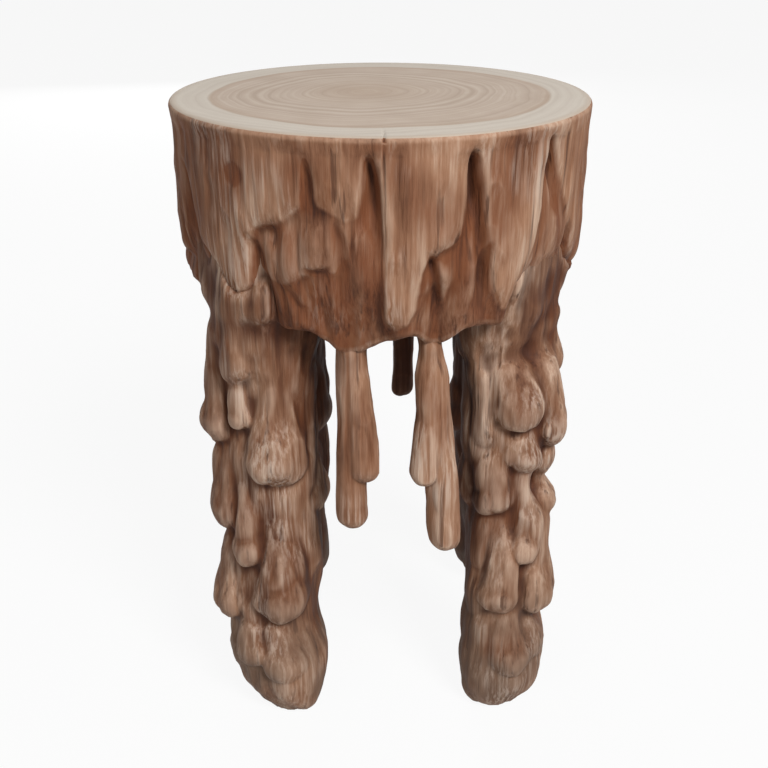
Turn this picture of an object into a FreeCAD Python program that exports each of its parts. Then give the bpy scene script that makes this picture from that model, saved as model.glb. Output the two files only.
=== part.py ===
import FreeCAD, Part

import math
import os

import Sketcher
from FreeCAD import Placement, Rotation, Vector

# A round carved stool: a drum with hanging tongues, four legs carved into drops,
# and free drops hanging in the openings between the legs.
# The frame has +Z up, the floor at z = 0, the seat axis at the origin and the front at -Y.
# A bearing is an angle about the seat axis, from the front towards +X.

doc = FreeCAD.newDocument("carved_stool")
sheet = doc.addObject("Spreadsheet::Sheet", "sizes")

SIZES = (
    # overall
    ("total_height", 475.0),
    ("seat_diameter", 300.0),
    # drum
    ("drum_height", 131.0),
    ("rim_round", 3.5),
    ("curtain_height", 62.0),
    ("drum_belly_radius", 150.0),
    ("hollow_depth", 10.0),
    ("hem_round", 3.0),
    ("tongue_setback", 0.8),
    ("broad_tongue_radius", 25.0),
    ("slim_tongue_radius", 19.0),
    ("hollow_taper", 0.4),
    ("wide_hollow_radius", 30.0),
    ("wide_hollow_length", 104.0),
    ("slim_hollow_radius", 16.0),
    ("slim_hollow_length", 128.0),
    ("side_hollow_radius", 62.0),
    ("side_hollow_length", 190.0),
    # legs
    ("left_legs_bearing", 50.0),
    ("right_legs_bearing", 57.0),
    ("leg_inset", 40.0),
    ("trunk_width", 80.0),
    ("trunk_depth", 66.0),
    # drops carved on the legs
    ("drop_lean", 6.5),
    ("drop_taper", 0.78),
    ("great_drop_radius", 27.0),
    ("great_drop_length", 132.0),
    ("full_drop_radius", 22.0),
    ("full_drop_length", 106.0),
    ("slim_drop_radius", 17.5),
    ("slim_drop_length", 84.0),
    ("bead_drop_radius", 12.0),
    ("bead_drop_length", 54.0),
    # leg joints
    ("tenon_inset", 39.0),
    ("tenon_diameter", 36.0),
    ("tenon_length", 68.0),
    ("tenon_clearance", 0.2),
    ("mortise_relief", 3.0),
    ("wedge_length", 42.0),
    ("wedge_thick_end", 5.0),
    ("wedge_thin_end", 1.6),
    ("wedge_clearance", 0.1),
    # hanging drops
    ("hanger_inset", 32.0),
    ("hanger_head_radius", 17.0),
    ("hanger_neck_radius", 8.5),
    ("hanger_neck_drop", 24.0),
    ("hanger_belly_radius", 10.5),
    ("front_left_hang", 158.0),
    ("front_right_hang", 180.0),
    ("back_hang", 167.0),
    ("side_drop_radius", 10.0),
    ("side_drop_length", 112.0),
    ("dowel_diameter", 8.0),
    ("dowel_length", 48.0),
    ("dowel_clearance", 0.15),
)

for row, (name, value) in enumerate(SIZES, start=1):
    sheet.set(f"A{row}", name)
    sheet.set(f"B{row}", str(value))
    sheet.setAlias(f"B{row}", name)
doc.recompute()
NAMES = [name for name, value in SIZES]


def size(name):
    return float(sheet.get(name))


def bound(text):
    """Write the sheet's name in front of each size in an expression."""
    return " ".join("sizes." + word if word in NAMES else word for word in text.split())


def bind(thing, **expressions):
    for prop, text in expressions.items():
        thing.setExpression(prop.replace("__", "."), bound(text))
    return thing


def place(thing, x="0", y="0", z="0", turn=None):
    """Bind where a thing stands; turn is its rotation."""
    if turn is not None:
        thing.Placement = Placement(Vector(), turn)
    return bind(thing, Placement__Base__x=x, Placement__Base__y=y, Placement__Base__z=z)


def polar(ring, bearing):
    """Expressions for a place on a ring about the seat axis."""
    turn = f"{bearing} * 1 deg"
    return {"x": f"( {ring} ) * sin( {turn} )", "y": f"-1 * ( {ring} ) * cos( {turn} )"}


UNDERSIDE = "( total_height - drum_height )"
LEG_RING = "seat_diameter / 2 - leg_inset"
TENON_RING = "seat_diameter / 2 - tenon_inset"
HANGER_RING = "seat_diameter / 2 - hanger_inset"


# Sketches, turned bodies and booleans

def open_sketch(body, name, role):
    sketch = body.newObject("Sketcher::SketchObject", name)
    plane = next(item for item in body.Origin.OriginFeatures if item.Role == role)
    sketch.AttachmentSupport = [(plane, "")]
    sketch.MapMode = "FlatFace"
    return sketch


def rule(sketch, text, *terms):
    """Add a constraint and bind it to an expression when one is given."""
    index = sketch.addConstraint(Sketcher.Constraint(*terms))
    if text:
        sketch.setExpression(f"Constraints[{index}]", bound(text))


def chain(sketch, points):
    """Join points by lines and return the lines' numbers."""
    lines = []
    for start, end in zip(points, points[1:]):
        lines.append(sketch.addGeometry(Part.LineSegment(Vector(*start), Vector(*end))))
    for first, second in zip(lines, lines[1:]):
        rule(sketch, None, "Coincident", first, 2, second, 1)
    return lines


def arc(sketch, centre, radius, first, last):
    circle = Part.Circle(Vector(*centre), Vector(0, 0, 1), radius)
    return sketch.addGeometry(Part.ArcOfCircle(circle, first, last))


def turn_body(body, sketch):
    turned = body.newObject("PartDesign::Revolution", body.Name + "_turned")
    turned.Profile = sketch
    turned.ReferenceAxis = (sketch, ["V_Axis"])
    turned.Angle = 360
    sketch.Visibility = False
    doc.recompute()
    return body


def copy_of(body, name):
    link = doc.addObject("App::Link", name)
    link.LinkedObject = body
    return link


def fuse(name, shapes):
    joined = doc.addObject("Part::MultiFuse", name)
    joined.Shapes = shapes
    joined.Refine = False
    return joined


def fuse_in_turn(name, shapes):
    """Grow one solid by adding the shapes to it one after another."""
    grown = shapes[0]
    for number, shape in enumerate(shapes[1:], start=1):
        step = doc.addObject("Part::Fuse", f"{name}_{number}")
        step.Base = grown
        step.Tool = shape
        step.Refine = False
        grown = step
    return grown


def cut(name, base, tool):
    made = doc.addObject("Part::Cut", name)
    made.Base = base
    made.Tool = tool
    made.Refine = False
    return made


def group(name, shapes):
    made = doc.addObject("Part::Compound", name)
    made.Links = shapes
    return made


def cylinder(name, radius, height):
    made = doc.addObject("Part::Cylinder", name)
    return bind(made, Radius=radius, Height=height)


def drop_body(kind, taper):
    """A drop with its round end at the origin, drawn in to a smaller round head above it."""
    radius = size(f"{kind}_radius")
    head = radius * size(taper)
    rise = size(f"{kind}_length") - radius - head
    bend = math.asin((radius - head) / rise)
    touch = (radius * math.cos(bend), radius * math.sin(bend))
    leave = (head * math.cos(bend), head * math.sin(bend) + rise)
    body = doc.addObject("PartDesign::Body", kind)
    sketch = open_sketch(body, kind + "_profile", "XZ_Plane")
    end = arc(sketch, (0, 0), radius, -math.pi / 2, bend)
    side, = chain(sketch, [touch, leave])
    cap = arc(sketch, (0, rise), head, bend, math.pi / 2)
    axis, = chain(sketch, [(0, rise + head), (0, -radius)])
    rule(sketch, None, "Coincident", end, 3, -1, 1)
    rule(sketch, None, "PointOnObject", cap, 3, -2)
    rule(sketch, None, "Tangent", end, 2, side, 1)
    rule(sketch, None, "Tangent", side, 2, cap, 1)
    rule(sketch, None, "Coincident", cap, 2, axis, 1)
    rule(sketch, None, "Coincident", axis, 2, end, 1)
    rule(sketch, None, "PointOnObject", axis, 1, -2)
    rule(sketch, None, "PointOnObject", axis, 2, -2)
    rule(sketch, f"{kind}_radius", "Radius", end, radius)
    rule(sketch, f"{kind}_radius * {taper}", "Radius", cap, head)
    spacing = f"{kind}_length - {kind}_radius * ( 1 + {taper} )"
    rule(sketch, spacing, "DistanceY", -1, 1, cap, 3, rise)
    return turn_body(body, sketch)


DROPS = {}
for drop_kind in ("great_drop", "full_drop", "slim_drop", "bead_drop", "side_drop"):
    DROPS[drop_kind] = drop_body(drop_kind, "drop_taper")
for hollow_kind in ("wide_hollow", "slim_hollow", "side_hollow"):
    DROPS[hollow_kind] = drop_body(hollow_kind, "hollow_taper")


# Legs

# Each row is a section of a leg's trunk: its height as a share of the leg, its width and depth
# as shares of the trunk's, and how far its middle is shifted in and towards the front opening,
# as shares of the trunk's depth and width.
TRUNK_SECTIONS = {
    "left": (
        (0.0, 0.50, 0.52, -0.07, 0.23),
        (0.03, 0.74, 0.77, -0.07, 0.20),
        (0.06, 0.88, 0.92, -0.07, 0.15),
        (0.14, 1.0, 1.05, -0.07, 0.07),
        (0.32, 0.96, 1.0, -0.03, 0.03),
        (0.62, 0.93, 0.97, 0.0, 0.02),
        (0.88, 0.98, 1.0, 0.0, 0.0),
        (1.04, 1.16, 1.05, 0.12, 0.0),
    ),
    "right": (
        (0.0, 0.38, 0.39, -0.27, 0.26),
        (0.03, 0.58, 0.60, -0.24, 0.24),
        (0.06, 0.76, 0.79, -0.23, 0.17),
        (0.14, 0.86, 0.90, -0.19, 0.09),
        (0.32, 0.84, 0.88, -0.15, 0.05),
        (0.62, 0.86, 0.90, -0.09, 0.02),
        (0.88, 0.94, 0.98, -0.03, 0.0),
        (1.04, 1.14, 1.05, 0.12, 0.0),
    ),
}


def trunk(side, sign):
    """The trunk of a leg, lofted from the flat of the foot through oval sections to the drum."""
    bearing = f"{sign} * {side}_legs_bearing"
    ovals = []
    for number, (share, wide, deep, shift_in, shift_side) in enumerate(TRUNK_SECTIONS[side], start=1):
        oval = doc.addObject("Part::Ellipse", f"{side}_trunk_section_{number}")
        bind(oval, MajorRadius=f"trunk_width * {wide} / 2", MinorRadius=f"trunk_depth * {deep} / 2")
        outward = f"( {LEG_RING} - {shift_in} * trunk_depth )"
        across = f"( {-sign * shift_side} * trunk_width )"
        turn = f"{bearing} * 1 deg"
        place(
            oval,
            x=f"{outward} * sin( {turn} ) + {across} * cos( {turn} )",
            y=f"-1 * {outward} * cos( {turn} ) + {across} * sin( {turn} )",
            z=f"{share} * {UNDERSIDE}",
        )
        bind(oval, Placement__Rotation__Angle=f"{bearing} * 1 deg")
        ovals.append(oval)
    loft = doc.addObject("Part::Loft", f"{side}_trunk")
    loft.Sections = ovals
    loft.Solid = True
    loft.Ruled = True
    return loft


def wedge_body(name, slack):
    """A tapered wedge across a tenon, its thick end flush with the tenon's end."""
    body = doc.addObject("PartDesign::Body", name)
    sketch = open_sketch(body, name + "_profile", "XZ_Plane")
    spare = size("wedge_clearance") if slack else 0
    thick = size("wedge_thick_end") / 2 + spare
    thin = size("wedge_thin_end") / 2 + spare
    deep = size("wedge_length") + spare
    lines = chain(sketch, [(-thick, 0), (thick, 0), (thin, -deep), (-thin, -deep), (-thick, 0)])
    extra = "wedge_clearance" if slack else "0"
    rule(sketch, None, "Coincident", lines[-1], 2, lines[0], 1)
    rule(sketch, None, "Symmetric", lines[0], 1, lines[0], 2, -1, 1)
    rule(sketch, None, "Horizontal", lines[0])
    rule(sketch, None, "Symmetric", lines[2], 1, lines[2], 2, -2)
    rule(sketch, f"wedge_thick_end + 2 * {extra}", "DistanceX", lines[0], 1, lines[0], 2, 2 * thick)
    rule(sketch, f"wedge_thin_end + 2 * {extra}", "DistanceX", lines[2], 2, lines[2], 1, 2 * thin)
    rule(sketch, f"wedge_length + {extra}", "DistanceY", lines[1], 2, lines[1], 1, deep)
    pad = body.newObject("PartDesign::Pad", name + "_pad")
    pad.Profile = sketch
    pad.Midplane = True
    bind(pad, Length="tenon_diameter * 1.2" if slack else "tenon_diameter * 0.9")
    sketch.Visibility = False
    doc.recompute()
    return body


WEDGE = wedge_body("wedge", False)
KERF = wedge_body("kerf", True)
TENON_END = f"{UNDERSIDE} + tenon_length"
ABOVE = place(cylinder("above_shoulder", "seat_diameter", "drum_height"), z=UNDERSIDE)

# Each row is a carved drop: its kind, the height of its round end as a share of the leg, the
# angle round the trunk from its outer face towards the front opening, and how far it stands
# proud of the trunk as a share of its radius.
LEFT_LEG_DROPS = (
    ("slim_drop", 0.885, 12, 0.38),
    ("full_drop", 0.74, -37, 0.74),
    ("bead_drop", 0.775, 16, 0.60),
    ("full_drop", 0.675, 62, 0.54),
    ("full_drop", 0.525, -32, 0.66),
    ("slim_drop", 0.455, 14, 0.52),
    ("full_drop", 0.325, 60, 0.56),
    ("full_drop", 0.29, -24, 0.60),
    ("slim_drop", 0.17, 18, 0.30),
    ("full_drop", 0.15, 58, 0.22),
    ("full_drop", 0.84, -88, 0.40),
    ("full_drop", 0.60, -96, 0.45),
    ("full_drop", 0.36, -84, 0.40),
    ("great_drop", 0.55, 150, 0.25),
)
RIGHT_LEG_DROPS = (
    ("full_drop", 0.785, 44, 0.50),
    ("bead_drop", 0.85, -36, 0.95),
    ("full_drop", 0.73, -11, 0.66),
    ("slim_drop", 0.665, 38, 0.46),
    ("slim_drop", 0.54, -20, 0.62),
    ("slim_drop", 0.55, 86, 0.44),
    ("slim_drop", 0.435, 24, 0.52),
    ("full_drop", 0.30, -8, 0.68),
    ("slim_drop", 0.315, 64, 0.52),
    ("slim_drop", 0.155, 46, 0.42),
    ("slim_drop", 0.16, 4, 0.30),
    ("full_drop", 0.80, -86, 0.40),
    ("full_drop", 0.56, -94, 0.45),
    ("full_drop", 0.33, -80, 0.40),
    ("great_drop", 0.55, 150, 0.25),
)


def section_at(side, share):
    """The shares of a trunk's section at a height between the listed ones."""
    rows = TRUNK_SECTIONS[side]
    for lower, upper in zip(rows, rows[1:]):
        if share <= upper[0]:
            part = (share - lower[0]) / (upper[0] - lower[0])
            return [low + part * (high - low) for low, high in zip(lower[1:], upper[1:])]
    return rows[-1][1:]


def carved_drop(name, kind, side, sign, share, angle, proud):
    """A drop set into the trunk's face, its head leaning in."""
    wide, deep, shift_in, shift_side = section_at(side, share)
    ahead = math.cos(math.radians(angle))
    aside = math.sin(math.radians(angle))
    sunk = f"{kind}_radius * {1 - proud:.2f}"
    outward = f"{LEG_RING} + trunk_depth * {deep / 2 * ahead - shift_in:.4f} - {sunk} * {ahead:.4f}"
    across = f"trunk_width * {wide / 2 * aside + shift_side:.4f} - {sunk} * {aside:.4f}"
    turn = f"{sign} * {side}_legs_bearing * 1 deg"
    facing = sign * (size(f"{side}_legs_bearing") - angle)
    spin = Rotation(Vector(0, 0, 1), facing)
    lean = Rotation(Vector(1, 0, 0), -size("drop_lean"))
    return place(
        copy_of(DROPS[kind], name),
        x=f"( {outward} ) * sin( {turn} ) - {sign} * ( {across} ) * cos( {turn} )",
        y=f"-1 * ( {outward} ) * cos( {turn} ) - {sign} * ( {across} ) * sin( {turn} )",
        z=f"{share} * {UNDERSIDE}",
        turn=spin.multiply(lean),
    )


def front_leg(side, sign, rows):
    """A front leg: trunk and drops in one piece, level under the drum, with a sawn tenon."""
    bearing = f"{sign} * {side}_legs_bearing"
    shapes = [trunk(side, sign)]
    for number, (kind, share, angle, proud) in enumerate(rows, start=1):
        shapes.append(carved_drop(f"{side}_drop_{number}", kind, side, sign, share, angle, proud))
    level = cut(f"{side}_leg_level", fuse_in_turn(f"{side}_leg_carved", shapes), ABOVE)
    tenon = cylinder(f"{side}_tenon", "tenon_diameter / 2", "2 * tenon_length")
    place(tenon, z=f"{UNDERSIDE} - tenon_length", **polar(TENON_RING, bearing))
    slot = place(copy_of(KERF, f"{side}_kerf"), z=TENON_END, **polar(TENON_RING, bearing))
    return cut(f"leg_front_{side}", fuse(f"{side}_leg_tenoned", [level, tenon]), slot)


def back_leg(side, front):
    """The back leg mirrors the front one across the middle of the stool."""
    mirror = doc.addObject("Part::Mirroring", f"leg_back_{side}")
    mirror.Source = front
    mirror.Base = Vector()
    mirror.Normal = Vector(0, 1, 0)
    return mirror


LEFT_LEG = front_leg("left", -1, LEFT_LEG_DROPS)
RIGHT_LEG = front_leg("right", 1, RIGHT_LEG_DROPS)
NODES = {
    "leg_front_left": LEFT_LEG,
    "leg_front_right": RIGHT_LEG,
    "leg_back_left": back_leg("left", LEFT_LEG),
    "leg_back_right": back_leg("right", RIGHT_LEG),
}


# Wedges in the tenons

def at_each_leg(shape, prefix, z):
    """Copies of a shape on the four tenon axes."""
    copies = []
    for side, sign in (("left", -1), ("right", 1)):
        for row, bearing in (("front", f"{side}_legs_bearing"), ("back", f"( 180 - {side}_legs_bearing )")):
            link = copy_of(shape, f"{prefix}_{row}_{side}")
            copies.append(place(link, z=z, **polar(TENON_RING, f"{sign} * {bearing}")))
    return copies


NODES["leg_wedges"] = group("leg_wedges", at_each_leg(WEDGE, "wedge", TENON_END))


# Hanging drops

# Each row: bearing, lean sideways in degrees, then for a shorter drop grown into the side
# its bearing about the hanger and the share of the hang at which it ends.
HANGERS = {
    "front_left": (-9.5, 0, 62, 0.745),
    "front_right": (16.5, -5, -75, 0.685),
    "back": (170, 0, None, None),
}


def hanger_body(where):
    """A long drop on a neck that flares to a flat head."""
    hang = size(f"{where}_hang")
    belly = size("hanger_belly_radius")
    neck = size("hanger_neck_radius")
    fall = size("hanger_neck_drop")
    head = size("hanger_head_radius")
    lip = head / 2
    flare = ((head - neck) ** 2 + (lip + fall) ** 2) / (2 * (head - neck))
    spread = math.pi - math.asin((lip + fall) / flare)
    body = doc.addObject("PartDesign::Body", f"{where}_hanger")
    sketch = open_sketch(body, f"{where}_hanger_profile", "XZ_Plane")
    top, = chain(sketch, [(0, lip), (head, lip)])
    bell = arc(sketch, (neck + flare, -fall), flare, spread, math.pi)
    side, = chain(sketch, [(neck, -fall), (belly, belly - hang)])
    end = arc(sketch, (0, belly - hang), belly, -math.pi / 2, 0)
    axis, = chain(sketch, [(0, -hang), (0, lip)])
    rule(sketch, None, "Horizontal", top)
    rule(sketch, None, "PointOnObject", top, 1, -2)
    rule(sketch, None, "Coincident", top, 2, bell, 1)
    rule(sketch, None, "Coincident", bell, 2, side, 1)
    rule(sketch, None, "Horizontal", bell, 3, bell, 2)
    rule(sketch, None, "Coincident", side, 2, end, 2)
    rule(sketch, None, "PointOnObject", end, 3, -2)
    rule(sketch, None, "Horizontal", end, 3, end, 2)
    rule(sketch, None, "Coincident", axis, 1, end, 1)
    rule(sketch, None, "PointOnObject", axis, 1, -2)
    rule(sketch, None, "Coincident", axis, 2, top, 1)
    rule(sketch, "hanger_head_radius / 2", "DistanceY", -1, 1, top, 1, lip)
    rule(sketch, "hanger_head_radius", "DistanceX", top, 1, top, 2, head)
    rule(sketch, "hanger_neck_radius", "DistanceX", -1, 1, bell, 2, neck)
    rule(sketch, "hanger_neck_drop", "DistanceY", bell, 2, -1, 1, fall)
    rule(sketch, "hanger_belly_radius", "Radius", end, belly)
    rule(sketch, f"{where}_hang - hanger_belly_radius", "DistanceY", end, 3, -1, 1, hang - belly)
    return turn_body(body, sketch)


def hanging_drop(where):
    """A hanging drop, level under the drum and bored for its dowel."""
    bearing, lean, side_bearing, side_share = HANGERS[where]
    shapes = [hanger_body(where)]
    if side_bearing is not None:
        side = copy_of(DROPS["side_drop"], f"{where}_side_drop")
        depth = f"side_drop_radius - {side_share} * {where}_hang"
        rise = size("side_drop_length") - size("side_drop_radius") * (1 + size("drop_taper"))
        tilt = -math.degrees(math.asin(size("side_drop_radius") / rise))
        turn = Rotation(Vector(0, 0, 1), side_bearing).multiply(Rotation(Vector(1, 0, 0), tilt))
        shapes.append(place(side, z=depth, turn=turn, **polar("side_drop_radius", side_bearing)))
    carved = fuse(f"{where}_carved", shapes) if len(shapes) > 1 else shapes[0]
    spot = polar(HANGER_RING, bearing)
    place(carved, z=UNDERSIDE, turn=Rotation(Vector(0, 1, 0), lean), **spot)
    hole = cylinder(f"{where}_hole", "dowel_diameter / 2 + dowel_clearance", "dowel_length")
    place(hole, z=f"{UNDERSIDE} - dowel_length / 2 - dowel_clearance", **spot)
    return cut(f"drop_{where}", carved, fuse(f"{where}_cutters", [ABOVE, hole]))


def at_each_hanger(shape, prefix):
    copies = []
    for where, row in HANGERS.items():
        link = copy_of(shape, f"{prefix}_{where}")
        copies.append(place(link, z=f"{UNDERSIDE} - dowel_length / 2", **polar(HANGER_RING, row[0])))
    return copies


for hanger in HANGERS:
    NODES[f"drop_{hanger}"] = hanging_drop(hanger)
DOWEL = cylinder("dowel", "dowel_diameter / 2", "dowel_length")
SOCKET = cylinder("dowel_socket", "dowel_diameter / 2 + dowel_clearance", "dowel_length + dowel_clearance")
NODES["drop_dowels"] = group("drop_dowels", at_each_hanger(DOWEL, "dowel"))


# Drum with the seat

def drum_body():
    """The drum turned about the seat axis: upright under the rim, then drawn in to the hem."""
    body = doc.addObject("PartDesign::Body", "drum")
    sketch = open_sketch(body, "drum_profile", "XZ_Plane")
    top = size("total_height")
    low = top - size("drum_height")
    out = size("seat_diameter") / 2
    edge = size("rim_round")
    band = top - size("curtain_height")
    bulge = size("drum_belly_radius")
    hem = size("hem_round")
    fall = band - low - hem
    reach = math.sqrt((bulge - hem) ** 2 - fall ** 2)
    swing = -math.asin(fall / (bulge - hem))
    foot = out - bulge + reach
    under, = chain(sketch, [(0, low), (foot, low)])
    turn = arc(sketch, (foot, low + hem), hem, -math.pi / 2, swing)
    belly = arc(sketch, (out - bulge, band), bulge, swing, 0)
    side, = chain(sketch, [(out, band), (out, top - edge)])
    rim = arc(sketch, (out - edge, top - edge), edge, 0, math.pi / 2)
    seat, axis = chain(sketch, [(out - edge, top), (0, top), (0, low)])
    rule(sketch, None, "Tangent", under, 2, turn, 1)
    rule(sketch, None, "Tangent", turn, 2, belly, 1)
    rule(sketch, None, "Tangent", belly, 2, side, 1)
    rule(sketch, None, "Tangent", side, 2, rim, 1)
    rule(sketch, None, "Tangent", rim, 2, seat, 1)
    rule(sketch, None, "Coincident", axis, 2, under, 1)
    rule(sketch, None, "Horizontal", under)
    rule(sketch, None, "Vertical", side)
    rule(sketch, None, "Horizontal", seat)
    rule(sketch, None, "PointOnObject", axis, 1, -2)
    rule(sketch, None, "PointOnObject", axis, 2, -2)
    rule(sketch, "rim_round", "Radius", rim, edge)
    rule(sketch, "hem_round", "Radius", turn, hem)
    rule(sketch, "drum_belly_radius", "Radius", belly, bulge)
    rule(sketch, "seat_diameter / 2", "DistanceX", -1, 1, side, 1, out)
    rule(sketch, UNDERSIDE, "DistanceY", -1, 1, axis, 2, low)
    rule(sketch, "total_height", "DistanceY", -1, 1, axis, 1, top)
    rule(sketch, "curtain_height", "DistanceY", side, 1, seat, 2, top - band)
    return turn_body(body, sketch)


def tongue_body(name, kind, share):
    """A round-ended tongue drawn on the drum's front and carried out from the seat axis."""
    radius = size(f"{kind}_radius")
    low = size("total_height") - (1 - share) * size("drum_height")
    high = size("total_height") - size("curtain_height") / 2
    body = doc.addObject("PartDesign::Body", name)
    sketch = open_sketch(body, name + "_outline", "XZ_Plane")
    left, head, right = chain(sketch, [(-radius, low), (-radius, high), (radius, high), (radius, low)])
    end = arc(sketch, (0, low), radius, -math.pi, 0)
    rule(sketch, None, "Tangent", right, 2, end, 2)
    rule(sketch, None, "Tangent", left, 1, end, 1)
    rule(sketch, None, "PointOnObject", end, 3, -2)
    rule(sketch, None, "Horizontal", head)
    rule(sketch, None, "Vertical", left)
    rule(sketch, f"{kind}_radius", "Radius", end, radius)
    rule(sketch, f"total_height - ( 1 - {share} ) * drum_height", "DistanceY", -1, 1, end, 3, low)
    rule(sketch, "total_height - curtain_height / 2", "DistanceY", -1, 1, left, 2, high)
    pad = body.newObject("PartDesign::Pad", name + "_pad")
    pad.Profile = sketch
    bind(pad, Length="seat_diameter")
    sketch.Visibility = False
    doc.recompute()
    return body


# Each row is a hanging tongue: its kind, its bearing, and the height of its round end's
# middle above the drum's underside as a share of the drum.
TONGUES = (
    ("slim_tongue", -76, 0.36),
    ("broad_tongue", -53, 0.28),
    ("broad_tongue", 8, 0.22),
    ("slim_tongue", 40, 0.23),
    ("slim_tongue", 71, 0.30),
)
# Each row is a hollow cut into the curtain: its kind, its bearing and the height of its
# arched top as a share of the drum.
HOLLOWS = (
    ("side_hollow", -90, 0.62),
    ("slim_hollow", -75, 0.80),
    ("wide_hollow", -24, 0.56),
    ("wide_hollow", -11, 0.50),
    ("slim_hollow", -4.5, 0.88),
    ("slim_hollow", 23.5, 0.93),
    ("slim_hollow", 25.5, 0.50),
    ("slim_hollow", 49.5, 0.91),
    ("slim_hollow", 69, 0.70),
    ("side_hollow", 90, 0.58),
)


def mirrored(bearing):
    return 180 - bearing


CURTAIN = cylinder("curtain", "seat_diameter / 2 - tongue_setback", "total_height")
tongues = []
for number, (kind, bearing, share) in enumerate(TONGUES, start=1):
    body = tongue_body(f"tongue_{number}", kind, share)
    body.Placement = Placement(Vector(), Rotation(Vector(0, 0, 1), bearing))
    tongue = doc.addObject("Part::Common", f"tongue_{number}_rounded")
    tongue.Base = body
    tongue.Tool = CURTAIN
    behind = doc.addObject("Part::Mirroring", f"tongue_{number}_behind")
    behind.Source = tongue
    behind.Normal = Vector(0, 1, 0)
    tongues += [tongue, behind]


def hollow(name, kind, bearing, share):
    """A cutter that hangs from its arched head, its inner side along the drum's own side."""
    radius = size(f"{kind}_radius")
    narrowing = radius * (1 - size("hollow_taper"))
    rise = size(f"{kind}_length") - radius * (1 + size("hollow_taper"))
    lean = math.degrees(math.asin(narrowing / rise))
    turn = Rotation(Vector(0, 0, 1), bearing).multiply(Rotation(Vector(1, 0, 0), -lean))
    where = polar(f"seat_diameter / 2 - hollow_depth + {kind}_radius", bearing)
    depth = f"{UNDERSIDE} + {share} * drum_height - {kind}_length + {kind}_radius"
    return place(copy_of(DROPS[kind], name), z=depth, turn=turn, **where)


cutters = []
for number, (kind, bearing, share) in enumerate(HOLLOWS, start=1):
    cutters.append(hollow(f"hollow_{number}", kind, bearing, share))
    if mirrored(bearing) % 360 != bearing % 360:
        cutters.append(hollow(f"hollow_{number}_behind", kind, mirrored(bearing), share))
mortise = cylinder("mortise", "tenon_diameter / 2 + tenon_clearance", "2 * tenon_length + mortise_relief")
cutters += at_each_leg(mortise, "mortise", f"{UNDERSIDE} - tenon_length")
cutters += at_each_hanger(SOCKET, "socket")
below = cylinder("below_drum", "seat_diameter", "drum_height")
cutters.append(place(below, z=f"{UNDERSIDE} - drum_height"))
carved_drum = fuse_in_turn("carved_drum", [drum_body()] + tongues)
NODES["seat_block"] = cut("seat_block", carved_drum, fuse("drum_cutters", cutters))

doc.recompute()

for item in doc.Objects:
    if "Invalid" in item.State or "Error" in item.State:
        raise RuntimeError(f"{item.Name} did not build: {item.State}")
os.makedirs("parts", exist_ok=True)
for name, node in NODES.items():
    shape = node.Shape
    if shape.isNull() or not shape.isValid():
        raise RuntimeError(f"{name} has no sound shape")
    node.Label = name
    shape.exportStep(f"parts/{name}.step")
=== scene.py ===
import math

import bmesh
import bpy
import numpy as np
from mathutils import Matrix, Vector
from mathutils.bvhtree import BVHTree


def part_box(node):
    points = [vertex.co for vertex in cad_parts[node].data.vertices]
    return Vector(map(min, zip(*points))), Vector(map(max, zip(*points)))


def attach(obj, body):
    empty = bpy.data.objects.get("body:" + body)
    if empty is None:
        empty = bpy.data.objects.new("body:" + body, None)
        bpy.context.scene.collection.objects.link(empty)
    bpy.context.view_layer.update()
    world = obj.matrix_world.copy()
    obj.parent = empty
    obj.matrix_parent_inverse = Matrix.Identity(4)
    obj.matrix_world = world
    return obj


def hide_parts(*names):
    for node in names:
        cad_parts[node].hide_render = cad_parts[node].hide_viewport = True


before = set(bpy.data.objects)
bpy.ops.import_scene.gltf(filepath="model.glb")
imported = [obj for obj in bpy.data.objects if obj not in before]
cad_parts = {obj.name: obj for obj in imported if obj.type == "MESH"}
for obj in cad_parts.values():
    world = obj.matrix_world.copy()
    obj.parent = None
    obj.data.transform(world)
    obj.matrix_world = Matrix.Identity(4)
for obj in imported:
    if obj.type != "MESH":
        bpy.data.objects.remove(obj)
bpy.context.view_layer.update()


# Seat block
# The drum of the stool, a solid slice of log: sanded end grain on top, a worn rim, and a side
# carved with gouges into a curtain of hanging tongues over hollows. Oiled hardwood.

seat_radius = 0.14998
seat_top = 0.475
underside = 0.344
rim_round = 0.0035
hem_round = 0.008

# The carving of the side is worked in millimetres: levels above the floor, and how far the
# side is set in from the log's full radius.
log_radius = 150
girth_radius = 148
degree_width = 2.58
top_level = 475
drum_depth = 131

# The lower edge of the outer layer of the curtain, as bearing in degrees from the front
# towards +X and height in millimetres; the back repeats it mirrored.
outer_hem = (
    (-90, 388), (-84, 372), (-78, 364), (-70, 374), (-66, 405), (-63.7, 430), (-61.5, 415),
    (-58, 392), (-54, 383), (-49.6, 380), (-46, 371), (-44.5, 364.5), (-41, 362), (-38, 366),
    (-36.2, 372), (-35.2, 392), (-34.3, 403), (-32.9, 411), (-29.5, 413.5), (-26.6, 414),
    (-22, 423), (-19.6, 428), (-18.6, 452), (-17.9, 460), (-17.2, 452), (-16.2, 430), (-13.7, 427),
    (-8.3, 420), (-4.9, 424), (-4, 440), (-3.5, 454), (-2.3, 460.5), (-0.9, 455), (-0.2, 440),
    (0.1, 400), (0.3, 372), (0.9, 358), (3.8, 353.5), (7.2, 354.5), (9.6, 365), (10.6, 388),
    (12.6, 397), (15.8, 401), (19.3, 405), (21, 412), (21.7, 430), (22.1, 447), (23.2, 460.5),
    (24.3, 460), (25.1, 453.6), (26.4, 422), (27.8, 401), (29.1, 383), (30.7, 365.5), (33.7, 357),
    (36.1, 354.5), (37.6, 358), (39.5, 372.5), (42.6, 389), (45, 398), (46.2, 420), (47, 445),
    (48.2, 463), (49.6, 460), (52.6, 440), (56, 424), (59.6, 410), (63, 388), (67, 372), (72, 362),
    (78, 358), (84, 362), (90, 380),
)
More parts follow.
